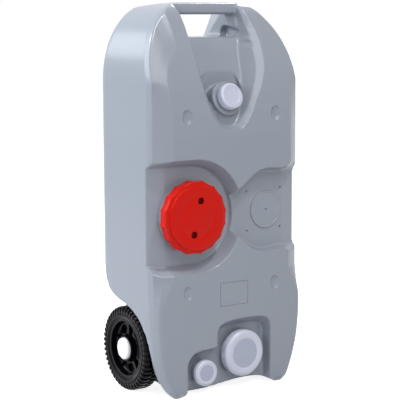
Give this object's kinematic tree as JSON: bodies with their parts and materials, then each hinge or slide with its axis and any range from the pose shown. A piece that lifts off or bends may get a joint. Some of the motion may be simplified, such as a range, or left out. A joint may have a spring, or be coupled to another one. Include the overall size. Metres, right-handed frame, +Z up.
{
  "type": "wheeled water bowser",
  "caption": "Upright blow-moulded water tank on two rear wheels, with a moulded grip bar, a wide screw lid and smaller screw caps for pouring and draining.",
  "frame": {"origin": "middle of the bounding box on the ground plane", "axes": "+Z up, the front face with the lids looks along -Y, +X to the right of someone who looks along +Y at the front"},
  "size_m": [0.372, 0.233, 0.8],
  "materials": {
    "tank": "satin moulded grey",
    "lid": "satin red",
    "cap": "milky white",
    "seal": "matt black",
    "axle": "zinc plated",
    "rim": "satin black",
    "tyre": "matt black",
    "hub_cover": "white",
    "spacer": "matt black",
    "nut": "bright"
  },
  "bodies": {
    "tank": {"tank_body": "tank", "axle": "axle", "spacer_left": "spacer", "spacer_right": "spacer", "push_nut_left": "nut", "push_nut_right": "nut"},
    "wheel_left": {"wheel_rim_left": "rim", "tyre_left": "tyre", "hub_cap_left": "hub_cover"},
    "wheel_right": {"wheel_rim_right": "rim", "tyre_right": "tyre", "hub_cap_right": "hub_cover"},
    "filler_seat": {"filler_lid_seal": "seal"},
    "filler": {"filler_lid": "lid"},
    "drain_large_seat": {"drain_cap_large_seal": "seal"},
    "drain_large": {"drain_cap_large": "cap"},
    "drain_small_seat": {"drain_cap_small_seal": "seal"},
    "drain_small": {"drain_cap_small": "cap"},
    "pour_seat": {"pour_cap_seal": "seal"},
    "pour": {"pour_cap": "cap"}
  },
  "joints": [
    {"name": "wheel_left_spin", "type": "hinge", "parent": "tank", "child": "wheel_left", "pos_m": [-0.162, 0.027, 0.088], "axis": [1, 0, 0], "continuous": true},
    {"name": "wheel_right_spin", "type": "hinge", "parent": "tank", "child": "wheel_right", "pos_m": [0.162, 0.027, 0.088], "axis": [1, 0, 0], "continuous": true},
    {"name": "filler_lift", "type": "slide", "parent": "tank", "child": "filler_seat", "axis": [0, -1, 0], "range_m": [0, 0.0136]},
    {"name": "filler_turn", "type": "hinge", "parent": "filler_seat", "child": "filler", "pos_m": [-0.0927, -0.1055, 0.3705], "axis": [0, -1, 0], "range_deg": [0, 810]},
    {"name": "drain_large_lift", "type": "slide", "parent": "tank", "child": "drain_large_seat", "axis": [0, -1, 0], "range_m": [0, 0.0126]},
    {"name": "drain_large_turn", "type": "hinge", "parent": "drain_large_seat", "child": "drain_large", "pos_m": [0.031, -0.1055, 0.0745], "axis": [0, -1, 0], "range_deg": [0, 900]},
    {"name": "drain_small_lift", "type": "slide", "parent": "tank", "child": "drain_small_seat", "axis": [0, -1, 0], "range_m": [0, 0.0061]},
    {"name": "drain_small_turn", "type": "hinge", "parent": "drain_small_seat", "child": "drain_small", "pos_m": [-0.067, -0.1055, 0.0465], "axis": [0, -1, 0], "range_deg": [0, 540]},
    {"name": "pour_lift", "type": "slide", "parent": "tank", "child": "pour_seat", "axis": [0, -0.9397, 0.342], "range_m": [0, 0.0111]},
    {"name": "pour_turn", "type": "hinge", "parent": "pour_seat", "child": "pour", "pos_m": [0, -0.1075, 0.613], "axis": [0, -0.9397, 0.342], "range_deg": [0, 990]}
  ],
  "couplings": [
    {"joint": "filler_lift", "follows": "filler_turn", "m_per_rad": 0.00095493},
    {"joint": "drain_large_lift", "follows": "drain_large_turn", "m_per_rad": 0.00079577},
    {"joint": "drain_small_lift", "follows": "drain_small_turn", "m_per_rad": 0.00063662},
    {"joint": "pour_lift", "follows": "pour_turn", "m_per_rad": 0.00063662}
  ]
}
